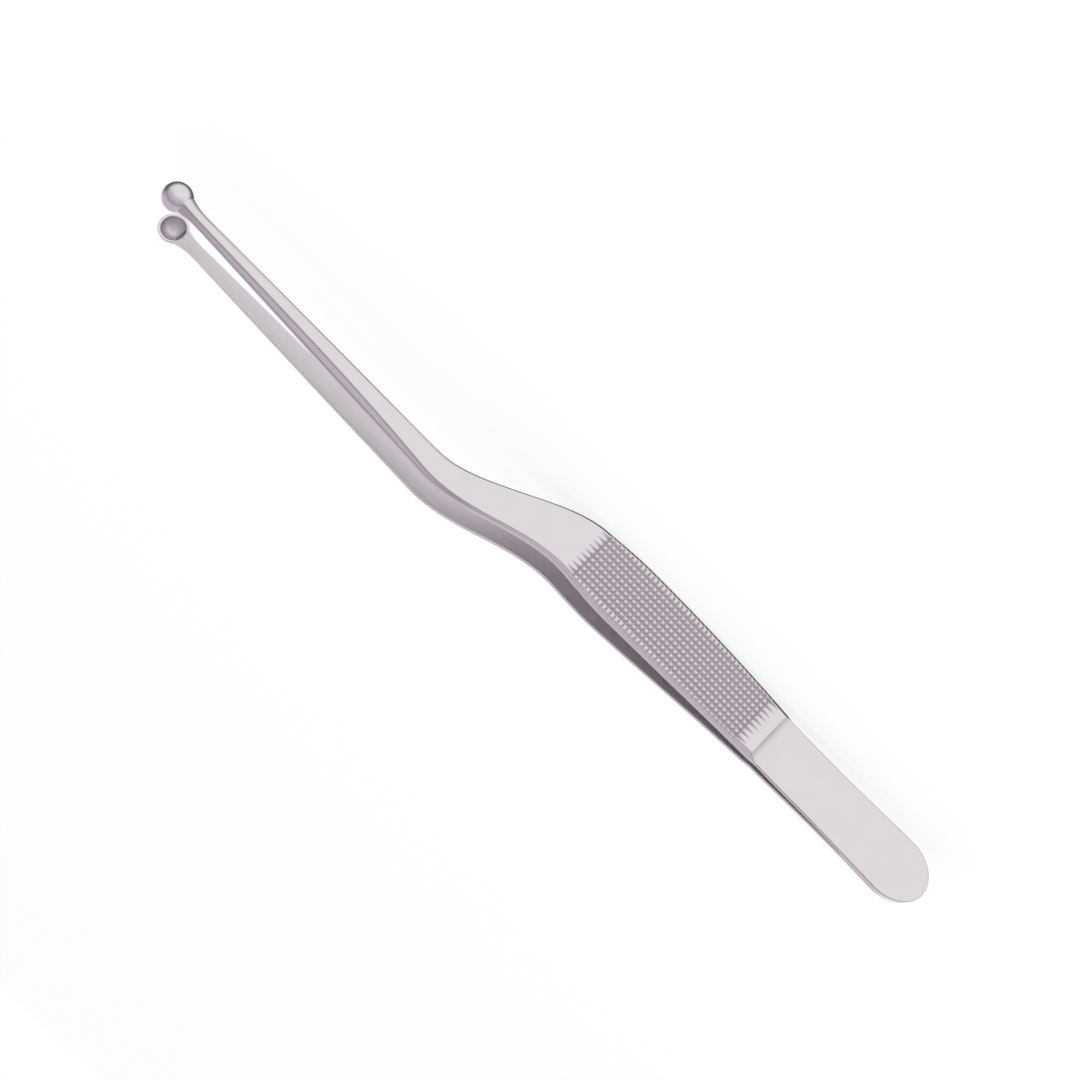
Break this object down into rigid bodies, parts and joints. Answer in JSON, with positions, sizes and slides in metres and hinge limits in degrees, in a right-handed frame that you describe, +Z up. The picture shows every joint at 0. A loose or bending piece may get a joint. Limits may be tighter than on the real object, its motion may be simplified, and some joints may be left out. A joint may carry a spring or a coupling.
{
  "type": "hypophyseal forceps",
  "caption": "Bayonet spring forceps with serrated finger grips and round cup jaws, welded at the heel, lying on the back edges of its grips.",
  "frame": {"origin": "centre of the object's footprint at the height of the surface it lies on", "axes": "+X along the forceps from the heel to the cups, +Y across the opening from the near blade to the far one, +Z up, the way the shank steps"},
  "size_m": [0.2004, 0.022, 0.0183],
  "materials": {
    "blade_steel": "satin"
  },
  "bodies": {
    "far": {"far_blade": "blade_steel"},
    "near": {"near_blade": "blade_steel"}
  },
  "joints": [
    {"name": "squeeze", "type": "hinge", "parent": "far", "child": "near", "pos_m": [-0.08316, 0, 0.00825], "axis": [0.0469, 0, 0.9989], "range_deg": [0, 4.93], "stiffness_Nm_per_rad": 5}
  ]
}
